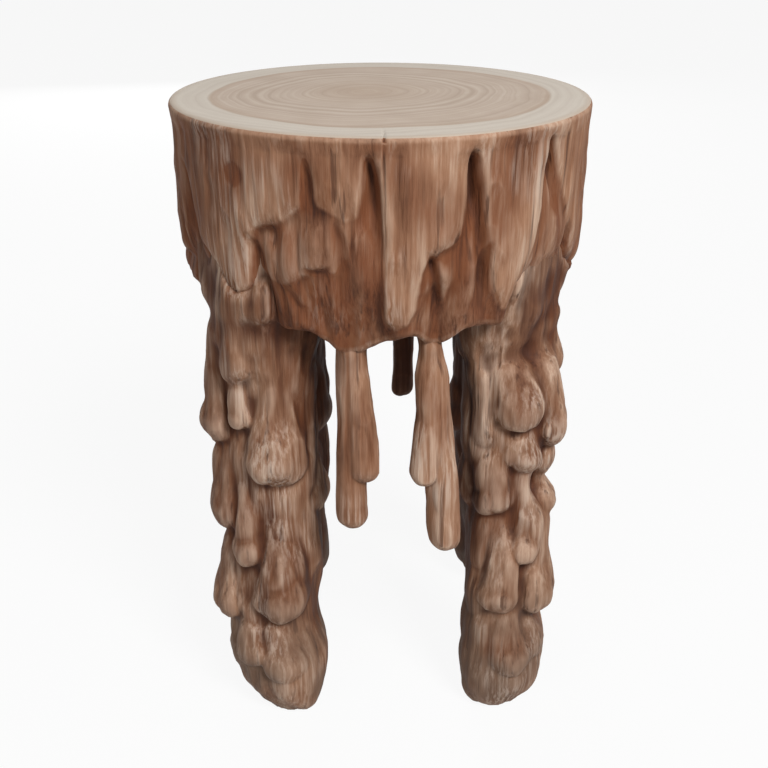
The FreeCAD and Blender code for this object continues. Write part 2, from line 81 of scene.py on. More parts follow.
# The lower edge of the second layer, behind the outer one.
inner_hem = (
    (-90, 375), (-70, 365), (-64, 405), (-58, 372), (-46, 352), (-38, 350), (-35, 372), (-32, 378),
    (-27, 372), (-22, 380), (-18, 386), (-14, 389), (-11, 386), (-8, 396), (-6, 420), (-4.2, 434),
    (-2.3, 452), (-0.8, 446), (0, 400), (0.3, 362), (3, 346), (8, 346), (10, 352), (12, 372),
    (15, 380), (17.5, 366), (19.5, 380), (21.5, 410), (23.2, 455), (25.5, 446), (27, 412),
    (29, 372), (31, 356), (36, 346), (41, 358), (45, 372), (47.5, 430), (49, 452), (53, 420),
    (58, 388), (64, 366), (72, 350), (90, 362),
)


def noise(points, seed):
    """Smooth noise from -1 to 1 at each row of points, one cell to a unit."""
    cell = np.floor(points).astype(np.int64)
    part = points - cell
    part = part * part * (3 - 2 * part)
    total = np.zeros(len(points))
    for corner in np.ndindex(2, 2, 2):
        spot = cell + corner
        mixed = spot[:, 0] * 374761393 + spot[:, 1] * 668265263 + spot[:, 2] * 2147483647
        mixed = (mixed + seed * 974634541) & 0xFFFFFFFF
        mixed = ((mixed ^ (mixed >> 13)) * 1274126177) & 0xFFFFFFFF
        mixed = mixed ^ (mixed >> 16)
        value = (mixed & 0xFFFF) / 32767.5 - 1
        total += value * np.prod(np.where(corner, part, 1 - part), axis=1)
    return total


def gouged(points, seed):
    """Hand-tool unevenness in metres: slow waves, flutes along the grain, fine ridges and short scoops."""
    waves = noise(points / 0.030, seed) * 0.0009 + noise(points / 0.012, seed + 1) * 0.0004
    flutes = noise(points / (0.0055, 0.0055, 0.050), seed + 2) * 0.00045
    ridges = noise(points / (0.0026, 0.0026, 0.040), seed + 3) * 0.00022
    scoops = (0.3 - np.abs(noise(points / (0.010, 0.010, 0.024), seed + 4))) * 0.0014
    return waves + flutes + ridges + scoops


def bump(value, middle, width):
    """1 at the middle, falling off smoothly to both sides over the width."""
    return np.exp(-(((value - middle) / width) ** 2))


def soften(layer, times):
    """Blur a grid of rows by columns; the columns close into a ring."""
    for step in range(times):
        layer = (np.roll(layer, 1, axis=1) + 2 * layer + np.roll(layer, -1, axis=1)) / 4
        padded = np.vstack([layer[:1], layer, layer[-1:]])
        layer = (padded[:-2] + 2 * padded[1:-1] + padded[2:]) / 4
    return layer


columns = 900
side_rows = 112
bearing = np.linspace(-180, 180, columns, endpoint=False)
folded = np.where(bearing > 90, 180 - bearing, np.where(bearing < -90, -180 - bearing, bearing))
height = np.linspace(seat_top - rim_round, underside + hem_round, side_rows)
level = height * 1000
spacing = girth_radius * math.tau / columns
turn = np.radians(bearing)
girth = girth_radius * np.stack([np.sin(turn), np.cos(turn), 0 * turn], axis=1)


def hem_line(hem, seed):
    """The lower edge of a layer of the curtain all round, in millimetres, chipped by the gouge."""
    knots = np.array(hem)
    drawn = np.interp(folded, knots[:, 0], knots[:, 1])
    return drawn + 1.6 * noise(girth / 11, seed) + 0.6 * noise(girth / 5, seed + 1)


def below_hem(line):
    """How far each spot of the side lies below a layer's edge, in millimetres; negative on the layer."""
    searched = 22
    reach = np.arange(-searched, searched)
    across = reach * spacing
    away = np.empty((side_rows, columns))
    for column in range(columns):
        here = line[(column + reach) % columns]
        climb = line[(column + reach + 1) % columns] - here
        above = level[:, None] - here
        along = np.clip((above * climb - across * spacing) / (spacing ** 2 + climb ** 2), 0, 1)
        away[:, column] = np.hypot(across + along * spacing, along * climb - above).min(axis=1)
    return np.where(level[:, None] > line[None, :], -away, away)


def step_down(away, deep, lip):
    """How far a layer's edge sets the side back: a worn lip, a deep crease, and a swell below."""
    worn = np.clip(1 + away / lip, 0, 1)
    rounded = 0.6 * deep * (1 - np.sqrt(1 - 0.96 * worn ** 2))
    crease = deep * (0.5 + 0.6 * np.exp(-np.clip(away, 0, None) / 9))
    return np.where(away < 0, rounded, crease)


# Each layer stands out more in some places than in others, and the wood below the outer one is undercut.
outer_line = hem_line(outer_hem, 5)
outer_away = below_hem(outer_line)
inner_away = below_hem(hem_line(inner_hem, 8))
outer_strength = np.clip(0.85 + 0.6 * noise(girth / 38, 21), 0.4, 1.3)[None, :]
inner_strength = np.clip(0.85 + 0.6 * noise(girth / 30, 22), 0.35, 1.3)[None, :]
bared = np.clip((outer_away + 2) / 14, 0, 1)
outer_step = 5.2
outer_lip = 13
inner_step = 4.4
inner_lip = 9
set_in = 0.6 + 1.2 * ((top_level - level) / drum_depth)[:, None]
set_in = set_in + step_down(outer_away, outer_step * outer_strength, outer_lip)
set_in = set_in + step_down(inner_away, inner_step * inner_strength, inner_lip)
undercut = 6.0
undercut_top = 432
at_side = np.clip((np.abs(folded) - 62) / 12, 0, 1)[None, :]
undercut_run = np.clip((undercut_top - level) / 88, 0, 1) ** 2
set_in = set_in + undercut * (1 - at_side) * bared * undercut_run[:, None]

# Deep gouge cuts down the side: bearing and height of the upper end, then of the lower end, half
# width and depth in millimetres. The back repeats them mirrored.
cuts = (
    ((-2.3, 461), (-1.3, 405), 3.6, 6.5), ((23.4, 464), (24.6, 402), 3.6, 8.0),
    ((48.6, 466), (53, 418), 3.4, 6.0), ((-18, 456), (-16.8, 424), 2.6, 2.0),
    ((-64, 440), (-62, 395), 3.6, 5.0), ((-11, 420), (-9.5, 372), 4.5, 3.0),
    ((12.5, 400), (16.5, 352), 3.6, 4.5), ((29, 402), (26, 352), 4.0, 4.0),
    ((39, 372), (44, 352), 3.4, 4.0), ((-35, 405), (-33.5, 356), 4.2, 4.0),
    ((-25, 372), (-21, 352), 4.0, 3.0), ((63, 400), (66, 356), 4.0, 4.5),
    ((-46, 372), (-48, 350), 3.4, 3.0), ((-72, 400), (-71, 356), 4.0, 2.5),
    ((74, 410), (75, 360), 4.0, 2.5),
)
cut_depth = np.zeros((side_rows, columns))
for (upper_bearing, upper), (lower_bearing, lower), half_width, deep in cuts:
    down = np.clip((upper - level) / (upper - lower), -0.2, 1.25)[:, None]
    off = (folded[None, :] - upper_bearing - (lower_bearing - upper_bearing) * down) * degree_width
    wander = noise(np.stack([level / 14, 0 * level + upper_bearing, 0 * level], axis=1), 3)
    off = off + 1.6 * wander[:, None]
    wide = half_width * (0.75 + 0.9 * np.clip(down, 0, 1))
    begin = np.clip(0.4 + (upper - level) / 16, 0, 1)[:, None]
    run = begin ** 2 * (3 - 2 * begin) * np.clip((1.2 - down) / 0.7, 0, 1)
    cut_depth = np.maximum(cut_depth, deep * run * bump(off, 0, wide))

# A saw nick and a knot in the front of the drum.
nick_bearing = -16.6
nick_level = 388
knot_bearing = -38.7
knot_level = 445
turned = bearing[None, :]
nick_height = nick_level + 0.5 * (turned - nick_bearing) - 1.2 * np.sin(np.radians(turned) * 40)
nick = bump(turned, nick_bearing, 2.8) * bump(level[:, None], nick_height, 2.1)
knot_reach = ((turned - knot_bearing) * degree_width) ** 2 + (level[:, None] - knot_level) ** 2
knot = bump(knot_reach, 0, 60)

# Some of the edges are left crisp from the tool, and others are rubbed down.
crisp = soften(set_in, 4)
rubbed = soften(set_in, 34)
patch = 26
spots = np.tile(girth, (side_rows, 1)) / patch + np.repeat(level, columns)[:, None] * (0, 0, 1 / patch)
sharpness = np.clip(0.55 + 0.9 * noise(spots, 33), 0, 1)
sharpness = soften(sharpness.reshape(side_rows, columns), 4)
set_in = crisp * sharpness + rubbed * (1 - sharpness) + 1.4 * nick + 0.6 * knot + cut_depth


def top_corners(node_name):
    """The corners of a solid that lie in the plane of the drum's underside."""
    corners = np.array([corner.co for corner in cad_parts[node_name].data.vertices])
    return corners[np.abs(corners[:, 2] - underside) < 0.0002]


def turned_from(turned, middle):
    """Bearings counted from a middle one, between -180 and 180 degrees."""
    return (turned - middle + 180) % 360 - 180


# Over each leg the hem meets the leg's own outline, so that the carving runs on from one to the other.
leg_names = ("leg_front_left", "leg_front_right", "leg_back_left", "leg_back_right")
leg_edge = np.zeros(columns)
for leg_name in leg_names:
    corners = top_corners(leg_name)
    reach = np.hypot(corners[:, 0], corners[:, 1])
    turned = np.degrees(np.arctan2(corners[:, 0], -corners[:, 1]))
    outer = reach > 0.118
    middle = np.degrees(np.angle(np.exp(1j * np.radians(turned[outer])).mean()))
    offset = turned_from(turned[outer], middle)
    order = np.argsort(offset)
    edge = np.interp(turned_from(bearing, middle), offset[order], reach[outer][order], left=0, right=0)
    leg_edge = np.maximum(leg_edge, edge)

# Near a leg the side is led out to the leg's outline, with a shoulder in millimetres over it.
near_leg = soften(np.clip((leg_edge - 0.120) / 0.010, 0, 1)[None, :], 12)[0]
flush_top = 388
left_shoulder = 10.0
right_shoulder = 0.5
flush = np.clip((flush_top - level) / 42, 0, 1)[:, None] ** 2 * near_leg[None, :]
shoulder = np.where(bearing < 0, left_shoulder, right_shoulder)
over_leg = log_radius - shoulder - 1000 * np.maximum(leg_edge, 0.128)
set_in = set_in * (1 - flush) + over_leg[None, :] * flush

# Over each hanging drop the hem sags and runs down into the drop's head: how far, and half how wide.
drop_roots = (
    ("drop_front_left", 0.019, 0.017),
    ("drop_front_right", 0.015, 0.013),
    ("drop_back", 0.012, 0.014),
)
root_circle = 0.128
sag_top = 0.386
sag_draws_in = 0.60
hem_sag = np.zeros(columns)
for drop_name, sag, half_width in drop_roots:
    head = top_corners(drop_name).mean(axis=0)
    middle = math.degrees(math.atan2(head[0], -head[1]))
    aside = np.radians(turned_from(bearing, middle)) * root_circle
    hem_sag = hem_sag + sag * bump(aside, 0, half_width)
hem_sag = hem_sag + np.clip(0.002 + 0.006 * noise(girth / 24, 71), 0, None) * (1 - near_leg)
sag_share = np.clip((sag_top - height) / (sag_top - height[-1]), 0, 1) ** 1.6
sagging = sag_share[:, None] * hem_sag[None, :]

# A drying check runs in from the rim and a little way down the front.
check_bearing = 0.9
check_width = 0.22
check_foot = 0.432
check_depth = 0.0034
check_line = bump(bearing, check_bearing, check_width)
check_fade = np.clip((height - check_foot) / (seat_top - check_foot), 0, 1)
drying_check = check_depth * check_line[None, :] * check_fade[:, None]


def ring_points(radius, level):
    """A ring of points about the seat axis; radius and level may vary along the ring."""
    turn = np.radians(bearing)
    level = np.zeros(columns) + level
    return np.stack([radius * np.sin(turn), -radius * np.cos(turn), level], axis=1)


def shade_under_edge(away, fade):
    """How much painted shade and red-brown stain the wood gets under a layer's edge, fading out downwards
    over some millimetres.
    """
    return np.exp(-np.clip(away, 0, None) / fade) * np.clip(1 + away / 3, 0, 1)


# The drum as rings of points: the face, the rim, the carved side, the hem and the underside.
smallest_ring = 0.004
fade_rows = 8
rim_turns = np.radians((20, 40, 60, 80))
hem_turns = np.radians((25, 50, 75))
under_rings = ((0.95, 1), (0.88, 0.85), (0.80, 0.45), (0.72, 0.1), (0.5, 0), (0.25, 0), (0.05, 0))
rings = []
seat_shade_and_stain = []
face_rings = np.linspace(smallest_ring, seat_radius - rim_round, 40)
for radius in face_rings:
    dip = 0.0026 * check_line * np.clip((radius - 0.122) / 0.02, 0, 1)
    rings.append(ring_points(radius, seat_top - dip))
    seat_shade_and_stain.append(np.zeros(columns))
for turn in rim_turns:
    radius = seat_radius - rim_round + rim_round * math.sin(turn) - drying_check[0]
    rings.append(ring_points(radius, seat_top - rim_round + rim_round * math.cos(turn)))
    seat_shade_and_stain.append(np.zeros(columns))
for row in range(side_rows):
    points = ring_points(seat_radius, height[row])
    fade = min(1, row / fade_rows)
    lobes = np.abs(noise(points / (0.015, 0.015, 0.044), 61)) * 0.0052
    lobes = lobes + noise(points / 0.012, 62) * 0.0008
    lumps = lobes * (0.25 + 0.75 * bared[row]) * (1 - flush[row]) - 0.0008
    worked = (set_in[row] * 0.001 - gouged(points, 11) - lumps + drying_check[row]) * fade
    radius = np.minimum(seat_radius - worked - sag_draws_in * sagging[row], seat_radius)
    rings.append(ring_points(radius, height[row] - sagging[row]))
    # Painted shade with red-brown stain under each layer's edge and in the cuts; the nick and the knot are
    # darker too.
    crease = 0.85 * shade_under_edge(outer_away[row], 13) + 0.45 * shade_under_edge(inner_away[row], 9)
    crease = crease * (0.75 + 0.5 * noise(points / 0.020, 64)) + cut_depth[row] / 9
    seat_shade_and_stain.append(np.clip(crease + 0.28 * bared[row] + 0.45 * nick[row] + 0.7 * knot[row], 0, 1))
hem_edge = np.hypot(rings[-1][:, 0], rings[-1][:, 1])
# The hem's rounding and the underside get painted shade, less where the hem sags over a drop.
for turn in hem_turns:
    inward = hem_round * (1 - math.cos(turn)) * (1 - near_leg)
    rings.append(ring_points(hem_edge - inward, underside + hem_round * (1 - math.sin(turn)) - hem_sag))
    seat_shade_and_stain.append(0.6 * np.clip(1 - hem_sag / 0.012, 0, 1))
for share, hangs in under_rings:
    radius = (hem_edge - hem_round * (1 - near_leg)) * share
    rings.append(ring_points(radius, underside - hangs * hem_sag))
    seat_shade_and_stain.append(np.clip(1 - hem_sag * hangs / 0.015, 0, 1))

points = np.vstack(rings + [[(0, 0, seat_top)], [(0, 0, underside)]])
rows = len(rings)
around = np.arange(columns)
following = (around + 1) % columns
ring_start = np.arange(rows - 1)[:, None] * columns
first = ring_start + around
beside = ring_start + following
quads = np.stack([first, first + columns, beside + columns, beside], axis=-1).reshape(-1, 4)
last_ring = (rows - 1) * columns
top_fan = np.stack([around, following, np.full(columns, rows * columns)], axis=1)
under_fan = np.stack([following, around, np.full(columns, columns + 1)], axis=1) + last_ring


def add_piece(name, points, faces):
    """Make a smooth-shaded mesh object from points and faces."""
    mesh = bpy.data.meshes.new(name)
    mesh.from_pydata(points.tolist(), [], faces)
    mesh.update()
    mesh.shade_smooth()
    piece = bpy.data.objects.new(name, mesh)
    bpy.context.scene.collection.objects.link(piece)
    return piece


def positions(mesh):
    """The mesh's vertices, one to a row."""
    points = np.empty(len(mesh.vertices) * 3)
    mesh.vertices.foreach_get("co", points)
    return points.reshape(-1, 3)


def facing(mesh):
    """The way each vertex faces, one to a row."""
    normals = np.empty(len(mesh.vertices) * 3)
    mesh.vertex_normals.foreach_get("vector", normals)
    return normals.reshape(-1, 3)


def store(mesh, points):
    """Move the mesh's vertices to these points."""
    mesh.vertices.foreach_set("co", points.ravel())
    mesh.update()


def smoothed(mesh, points, passes):
    """The points after each has been drawn towards its neighbours a number of times."""
    count = len(points)
    edges = np.empty(len(mesh.edges) * 2, dtype=np.int64)
    mesh.edges.foreach_get("vertices", edges)
    start, end = edges.reshape(-1, 2).T
    links = np.maximum(np.bincount(start, minlength=count) + np.bincount(end, minlength=count), 1)
    for step in range(passes):
        total = np.empty_like(points)
        for axis in range(3):
            along = points[:, axis]
            total[:, axis] = np.bincount(start, along[end], count) + np.bincount(end, along[start], count)
        points = 0.4 * points + 0.6 * total / links[:, None]
    return points


def relief_of(mesh, passes):
    """How far each vertex stands out from its smoothed surroundings, in metres; hollows are below 0."""
    points = positions(mesh)
    return ((points - smoothed(mesh, points, passes)) * facing(mesh)).sum(axis=1)


def mark(mesh, name, values):
    """Keep a number for each vertex, which the wood reads."""
    layer = mesh.attributes.new(name, "FLOAT", "POINT")
    layer.data.foreach_set("value", np.asarray(values, dtype=np.float32))


# The side under the hem is cut back a little where the wood of a leg runs up over it.
drum_shape = BVHTree.FromPolygons(points.tolist(), quads.tolist())
low_side = np.clip((384 - level) / 20, 0, 1)[:, None]
run_over = near_leg * low_side * np.clip(outer_away / 5, 0, 1)
covered = np.vstack([run_over, np.tile(near_leg, (len(hem_turns), 1))]).ravel()
cut_back = 0.004
side_start = (len(face_rings) + len(rim_turns)) * columns
on_side = slice(side_start, side_start + len(covered))
reach = np.hypot(points[on_side, 0], points[on_side, 1])
points[on_side, :2] *= (1 - cut_back * covered / reach)[:, None]
faces = quads.tolist() + top_fan.tolist() + under_fan.tolist()
seat_block = add_piece("seat_block_carved", points, faces)
mark(seat_block.data, "hollow", np.concatenate(seat_shade_and_stain + [[0], [1]]))
standing = np.clip(relief_of(seat_block.data, 14) / 0.0016, -1, 1)
above_hem = np.clip((points[:, 2] - underside - hem_round) / 0.012, 0, 1)
mark(seat_block.data, "relief", np.minimum(standing, above_hem))


class Wood:
    """A material under construction, with short calls for the nodes it uses."""

    def __init__(self, name):
        self.material = bpy.data.materials.new(name)
        self.material.use_nodes = True
        self.nodes = self.material.node_tree.nodes
        self.links = self.material.node_tree.links
        self.surface = self.nodes["Principled BSDF"]
        self.place = self.nodes.new("ShaderNodeTexCoord").outputs["Object"]

    def put(self, value, socket):
        """Link a socket, or set it to a plain value."""
        if isinstance(value, bpy.types.NodeSocket):
            self.links.new(value, socket)
        else:
            socket.default_value = value

    def stretched(self, scale, offset=(0, 0, 0)):
        """The place in the piece, scaled and moved along each axis."""
        node = self.nodes.new("ShaderNodeMapping")
        self.links.new(self.place, node.inputs["Vector"])
        node.inputs["Scale"].default_value = scale
        node.inputs["Location"].default_value = offset
        return node.outputs["Vector"]

    def cloud(self, place, scale, detail=4, rough=0.55, twist=0):
        """Soft random patches."""
        node = self.nodes.new("ShaderNodeTexNoise")
        self.links.new(place, node.inputs["Vector"])
        node.inputs["Scale"].default_value = scale
        node.inputs["Detail"].default_value = detail
        node.inputs["Roughness"].default_value = rough
        node.inputs["Distortion"].default_value = twist
        return node.outputs["Fac"]

    def maths(self, action, first, second):
        """One sum on two values."""
        node = self.nodes.new("ShaderNodeMath")
        node.operation = action
        self.put(first, node.inputs[0])
        self.put(second, node.inputs[1])
        return node.outputs[0]

    def span(self, value, low, high, to_low=0, to_high=1):
        """A value moved from one range to another and held there."""
        node = self.nodes.new("ShaderNodeMapRange")
        self.put(value, node.inputs["Value"])
        node.inputs["From Min"].default_value = low
        node.inputs["From Max"].default_value = high
        node.inputs["To Min"].default_value = to_low
        node.inputs["To Max"].default_value = to_high
        return node.outputs["Result"]

    def tones(self, value, stops):
        """Colours picked by a value from a row of stops."""
        node = self.nodes.new("ShaderNodeValToRGB")
        self.links.new(value, node.inputs["Fac"])
        ramp = node.color_ramp
        while len(ramp.elements) < len(stops):
            ramp.elements.new(0.5)
        for element, (position, colour) in zip(ramp.elements, stops):
            element.position = position
            element.color = (*colour, 1)
        return node.outputs["Color"]

    def blend(self, share, first, second):
        """A share of the second colour laid over the first."""
        node = self.nodes.new("ShaderNodeMix")
        node.data_type = "RGBA"
        self.put(share, node.inputs["Factor"])
        self.put(first if not isinstance(first, tuple) else (*first, 1), node.inputs["A"])
        self.put(second if not isinstance(second, tuple) else (*second, 1), node.inputs["B"])
        return node.outputs["Result"]

    def kept(self, name):
        """A number that was marked on the mesh."""
        node = self.nodes.new("ShaderNodeAttribute")
        node.attribute_name = name
        return node.outputs["Fac"]

    def raised(self, value, distance, strength=1.0, under=None):
        """Fine relief in the surface, over any that is there."""
        node = self.nodes.new("ShaderNodeBump")
        node.inputs["Strength"].default_value = strength
        node.inputs["Distance"].default_value = distance
        self.links.new(value, node.inputs["Height"])
        if under is not None:
            self.links.new(under, node.inputs["Normal"])
        return node.outputs["Normal"]


# A dark brown for painted shade near the floor, and a dry grey for pale scuffs.
shade_near_floor_brown = (0.125, 0.078, 0.052)
dry_grey = (0.50, 0.405, 0.335)


def carved_wood(name, pale, tan, brown, red, deep):
    """Long grain: streaks down the log, red-brown stain with painted shade in the hollows, and ridges
    paler as wear and painted sheen.
    """
    wood = Wood(name)
    fibres = wood.cloud(wood.stretched((1, 1, 0.04)), 420, 5, 0.65)
    streaks = wood.cloud(wood.stretched((1, 1, 0.09)), 85, 4, 0.62, 0.5)
    bands = wood.cloud(wood.stretched((1, 1, 0.22), (5, 2, 1)), 34, 3, 0.55, 0.4)
    patches = wood.cloud(wood.stretched((1, 1, 0.6), (3, 1, 0)), 17, 3, 0.5, 0.3)
    splits = wood.cloud(wood.stretched((1, 1, 0.03), (7, 4, 2)), 210, 3, 0.5)
    hollow = wood.kept("hollow")
    relief = wood.kept("relief")
    grain = wood.maths("ADD", wood.maths("MULTIPLY", fibres, 0.40), wood.maths("MULTIPLY", streaks, 0.60))
    grain = wood.maths("ADD", grain, wood.span(bands, 0.3, 0.7, -0.09, 0.09))
    colour = wood.tones(grain, ((0.34, brown), (0.50, tan), (0.68, pale)))
    ruddy = wood.tones(grain, ((0.34, deep), (0.50, red), (0.70, brown)))
    # Red-brown stain in hollows and random patches, with painted shade on inner sides and under the drum.
    in_hollows = wood.span(hollow, 0.10, 0.8, 0, 0.95)
    in_patches = wood.span(patches, 0.42, 0.62, 0, 0.80)
    stain_and_shade_share = wood.maths("ADD", in_hollows, in_patches)
    stain_and_shade_share = wood.maths("SUBTRACT", stain_and_shade_share, wood.span(relief, 0.05, 0.8, 0, 0.5))
    colour = wood.blend(wood.span(stain_and_shade_share, 0, 1), colour, ruddy)
    # The ridges go paler, partly as wear and partly as painted sheen.
    ridge_wear_and_sheen = wood.span(relief, 0.1, 0.9, 0, 0.6)
    worn = wood.maths("MULTIPLY", ridge_wear_and_sheen, wood.span(streaks, 0.35, 0.6, 0.4, 1))
    colour = wood.blend(worn, colour, pale)
    shadow = wood.span(relief, -0.85, -0.08, 0.9, 0)
    colour = wood.blend(shadow, colour, deep)
    colour = wood.blend(wood.span(splits, 0.30, 0.40, 0.65, 0), colour, deep)
    # Painted shade towards the floor.
    colour = wood.blend(wood.maths("MULTIPLY", wood.kept("shade_near_floor"), 0.70), colour, shade_near_floor_brown)
    dry = wood.span(wood.cloud(wood.stretched((1, 1, 0.45), (9, 3, 5)), 24, 3, 0.6), 0.50, 0.66)
    dry = wood.maths("MULTIPLY", dry, wood.span(fibres, 0.46, 0.60, 0, 0.45))
    dry = wood.maths("MULTIPLY", dry, wood.span(relief, -0.5, 0.1))
    dry = wood.maths("MULTIPLY", dry, wood.span(hollow, 0.1, 0.45, 1, 0.15))
    colour = wood.blend(dry, colour, dry_grey)
    wood.links.new(colour, wood.surface.inputs["Base Color"])
    wood.links.new(wood.span(streaks, 0.3, 0.7, 0.62, 0.82), wood.surface.inputs["Roughness"])
    wood.surface.inputs["Specular IOR Level"].default_value = 0.20
    coarse = wood.raised(streaks, 0.0014, 0.6)
    cracked = wood.raised(wood.span(splits, 0.30, 0.42), 0.0008, 0.5, coarse)
    wood.links.new(wood.raised(fibres, 0.0009, 0.6, cracked), wood.surface.inputs["Normal"])
    return wood.material


pale_tan = (0.44, 0.305, 0.220)
tan = (0.275, 0.146, 0.086)
warm_brown = (0.175, 0.070, 0.032)
red_brown = (0.140, 0.046, 0.018)
deep_brown = (0.042, 0.013, 0.006)
drum_wood = carved_wood("drum_side_wood", pale_tan, tan, warm_brown, red_brown, deep_brown)

heart_dark = (0.350, 0.278, 0.221)
heart_mid = (0.404, 0.326, 0.265)
heart_pale = (0.443, 0.368, 0.303)
pith_brown = (0.310, 0.220, 0.150)
sap_dark = (0.440, 0.386, 0.331)
sap_pale = (0.480, 0.430, 0.371)
line_brown = (0.310, 0.223, 0.160)
handled_brown = (0.340, 0.255, 0.187)
pore_brown = (0.260, 0.180, 0.130)


def end_grain(name):
    """The sanded end of the log: growth rings about the pith, fine pores, and a pale sapwood ring."""
    wood = Wood(name)
    flat = wood.stretched((1, 1, 0))
    pith = wood.stretched((1, 1, 0), (0.012, -0.004, 0))
    wobble = wood.cloud(flat, 9, 2, 0.5)
    reach = wood.nodes.new("ShaderNodeVectorMath")
    reach.operation = "LENGTH"
    wood.links.new(pith, reach.inputs[0])
    out = wood.maths("ADD", reach.outputs["Value"], wood.span(wobble, 0.25, 0.75, -0.008, 0.008))
    years = wood.nodes.new("ShaderNodeTexNoise")
    years.noise_dimensions = "1D"
    wood.links.new(out, years.inputs["W"])
    years.inputs["Scale"].default_value = 190
    years.inputs["Detail"].default_value = 3
    rings = years.outputs["Fac"]
    pores = wood.cloud(flat, 900, 2, 0.6)
    soft = wood.cloud(flat, 26, 3, 0.55)
    heart = wood.tones(rings, ((0.28, heart_dark), (0.5, heart_mid), (0.72, heart_pale)))
    heart = wood.blend(wood.span(soft, 0.40, 0.70, 0, 0.35), heart, heart_dark)
    core = wood.span(out, 0.010, 0.055, 0.35, 0)
    heart = wood.blend(core, heart, pith_brown)
    sap = wood.tones(rings, ((0.3, sap_dark), (0.6, sap_pale)))
    edge = wood.nodes.new("ShaderNodeVectorMath")
    edge.operation = "LENGTH"
    wood.links.new(flat, edge.inputs[0])
    reach_out = wood.maths("ADD", edge.outputs["Value"], wood.span(wobble, 0.25, 0.75, -0.0035, 0.0035))
    colour = wood.blend(wood.span(reach_out, 0.1195, 0.1225), heart, sap)
    line_inside = wood.span(reach_out, 0.113, 0.120)
    line_outside = wood.span(reach_out, 0.1200, 0.1225, 1, 0)
    line = wood.maths("MULTIPLY", line_inside, line_outside)
    colour = wood.blend(wood.maths("MULTIPLY", line, 0.45), colour, line_brown)
    handled = wood.span(edge.outputs["Value"], 0.1430, 0.1485, 0, 0.55)
    colour = wood.blend(handled, colour, handled_brown)
    colour = wood.blend(wood.span(pores, 0.60, 0.75, 0, 0.30), colour, pore_brown)
    wood.links.new(colour, wood.surface.inputs["Base Color"])
    wood.links.new(wood.span(soft, 0.3, 0.7, 0.60, 0.72), wood.surface.inputs["Roughness"])
    wood.surface.inputs["Specular IOR Level"].default_value = 0.20
    lines = wood.raised(rings, 0.0004, 0.25)
    wood.links.new(wood.raised(pores, 0.0003, 0.3, lines), wood.surface.inputs["Normal"])
    return wood.material


seat_wood = end_grain("seat_end_grain")
seat_block.data.materials.append(drum_wood)
seat_block.data.materials.append(seat_wood)
on_face = np.zeros(len(seat_block.data.polygons), dtype=np.int32)
on_face[: (len(face_rings) + 1) * columns] = 1
on_face[len(quads) : len(quads) + columns] = 1
seat_block.data.polygons.foreach_set("material_index", on_face)
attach(seat_block, "root")
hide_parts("seat_block")


# Legs
# Four stout legs of the same log wood, each worked all round with gouges into overlapping
# drops like running wax, flat under the foot, and tenoned up into the drum.


def shoulder_form(mesh):
    """The wood that runs up from a leg under the curtain's hem, as a closed form to melt into the leg."""
    corners = positions(mesh)
    reach = np.hypot(corners[:, 0], corners[:, 1])
    outer = corners[(np.abs(corners[:, 2] - underside) < 0.003) & (reach > 0.120)]
    middle = np.angle(np.exp(1j * np.arctan2(outer[:, 0], -outer[:, 1])).mean())
    leg_shape = BVHTree.FromPolygons(corners.tolist(), [face.vertices[:] for face in mesh.polygons])
    half_width = 28
    lowest = 0.304
    highest = 0.410
    turns = middle + np.radians(np.linspace(-half_width, half_width, 112))
    levels = np.linspace(lowest, highest, 90)
    ray_start = 0.2
    ray_length = 0.105
    field = np.zeros((len(levels), len(turns)))
    for column, turn in enumerate(turns):
        aim = Vector((-math.sin(turn), math.cos(turn), 0))
        for row, lift in enumerate(levels):
            start = Vector((0, 0, lift)) - aim * ray_start
            for shape in (leg_shape, drum_shape):
                hit = shape.ray_cast(start, aim, ray_length)[0]
                if hit is not None:
                    field[row, column] = max(field[row, column], math.hypot(hit.x, hit.y))
    kept = (field > 0).all(axis=0)
    field = field[:, kept]
    turns = turns[kept]
    eased = field.copy()
    for step in range(90):
        padded = np.pad(eased, 1, mode="edge")
        above_below = padded[:-2, 1:-1] + padded[2:, 1:-1]
        eased = (above_below + padded[1:-1, :-2] + padded[1:-1, 2:] + 4 * eased) / 8
    # It sinks into the wood above the hem, at its foot, at both sides and towards its top.
    hem = np.interp(np.degrees(turns), bearing, outer_line) / 1000
    above = np.clip((levels[:, None] - hem[None, :] + 0.003) / 0.006, 0, 1)
    below = np.clip((0.322 - levels) / 0.018, 0, 1)[:, None] ** 2
    beside = np.clip((np.abs(np.linspace(-1, 1, len(turns))) - 0.72) / 0.28, 0, 1)[None, :] ** 2
    faded = np.clip((levels - 0.352) / 0.046, 0, 1)[:, None] ** 2
    buried = 0.010
    thickness = 0.018
    tucked = buried * np.max(np.broadcast_arrays(above, below, beside, faded), axis=0)
    filled = 0.0008 + 0.0020 * bump(levels, underside, 0.010)[:, None]
    front = eased + filled - tucked
    grid_turn, grid_level = np.meshgrid(turns, levels)
    sheets = []
    for radius in (front, front - thickness):
        sheet = np.stack([radius * np.sin(grid_turn), -radius * np.cos(grid_turn), grid_level], axis=-1)
        sheets.append(sheet.reshape(-1, 3))
    tall, wide = field.shape
    spot = np.arange(tall * wide).reshape(tall, wide)
    quad = np.stack([spot[:-1, :-1], spot[:-1, 1:], spot[1:, 1:], spot[1:, :-1]], axis=-1).reshape(-1, 4)
    rim = np.concatenate([spot[0, :-1], spot[:-1, -1], spot[-1, :0:-1], spot[:0:-1, 0]])
    behind = tall * wide
    wall = np.stack([np.roll(rim, -1), rim, rim + behind, np.roll(rim, -1) + behind], axis=1)
    return np.vstack(sheets), np.vstack([quad, quad[:, ::-1] + behind, wall]).tolist()


